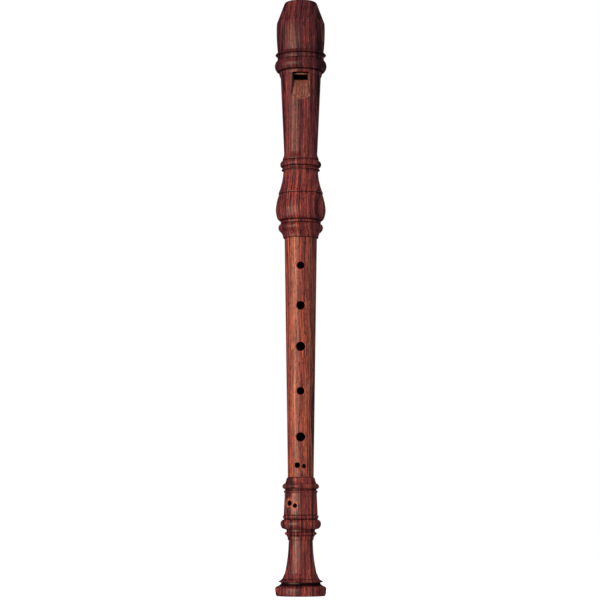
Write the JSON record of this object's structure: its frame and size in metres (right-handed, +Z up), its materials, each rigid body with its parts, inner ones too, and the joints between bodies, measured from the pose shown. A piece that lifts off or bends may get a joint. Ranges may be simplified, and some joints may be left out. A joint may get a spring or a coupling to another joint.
{
  "type": "soprano recorder",
  "caption": "Turned wooden soprano recorder in three joints, with a window and ramp, block, corked tenons, finger holes and a thumb hole.",
  "frame": {"origin": "centre of the foot's end face, where the bore's axis meets the surface the recorder stands on", "axes": "+Z up the bore towards the beak; -Y is the front, with the window and finger holes; +X is to the right seen from the front"},
  "size_m": [0.029, 0.029, 0.33],
  "materials": {
    "dark_rosewood": "oiled satin",
    "light_rosewood": "oiled satin",
    "cedar": "raw, planed",
    "cork": "greased cork"
  },
  "bodies": {
    "foot": {"foot_joint": "dark_rosewood"},
    "lower_cork": {"foot_tenon_cork": "cork"},
    "middle": {"middle_joint": "light_rosewood"},
    "upper_cork": {"head_tenon_cork": "cork"},
    "head": {"head_joint": "dark_rosewood"},
    "block": {"block": "cedar"}
  },
  "joints": [
    {"name": "foot_pull", "type": "slide", "parent": "foot", "child": "lower_cork", "axis": [0, 0, 1], "range_m": [0, 0.015]},
    {"name": "foot_turn", "type": "hinge", "parent": "lower_cork", "child": "middle", "pos_m": [0, 0, 0.05925], "axis": [0, 0, 1], "continuous": true},
    {"name": "head_turn", "type": "hinge", "parent": "middle", "child": "upper_cork", "pos_m": [0, 0, 0.20645], "axis": [0, 0, 1], "continuous": true},
    {"name": "head_pull", "type": "slide", "parent": "upper_cork", "child": "head", "axis": [0, 0, 1], "range_m": [0, 0.026]},
    {"name": "block_push", "type": "slide", "parent": "head", "child": "block", "axis": [0, 0, 1], "range_m": [0, 0.045]}
  ]
}
